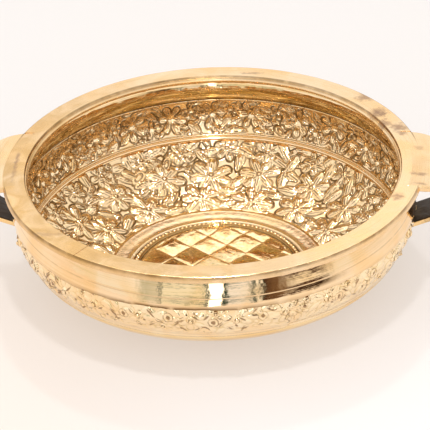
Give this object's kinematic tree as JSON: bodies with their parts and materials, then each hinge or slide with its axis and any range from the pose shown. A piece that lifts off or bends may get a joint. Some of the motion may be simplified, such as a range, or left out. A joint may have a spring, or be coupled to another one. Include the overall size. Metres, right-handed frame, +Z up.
{
  "type": "urli bowl",
  "caption": "Wide shallow brass floating-flower bowl with a flat rim, plain collar, embossed wall and floor, faceted centre disc and fixed ear-and-strap loop handles.",
  "frame": {"origin": "centre of the flat base the bowl rests on", "axes": "+Z up along the bowl's axis, +X through the right handle, +Y to the back"},
  "size_m": [0.354, 0.3, 0.092],
  "materials": {
    "polished_brass": "hand-polished brass with faint brushing and tarnish stains",
    "embossed_brass": "chased and embossed sheet brass, brown in the hollows, bright on the high spots",
    "pressed_brass": "bright pressed brass facets with brown in the valleys",
    "blackened_brass": "unpolished black inner face with a worn brass edge"
  },
  "bodies": {
    "root": {"rim_ring": "polished_brass", "neck_collar": "polished_brass", "side_band": "embossed_brass", "floor_dish": "embossed_brass", "floor_medallion": "pressed_brass", "left_ear_plate": "polished_brass", "right_ear_plate": "polished_brass", "left_handle_strap": "blackened_brass", "right_handle_strap": "blackened_brass"}
  },
  "joints": []
}
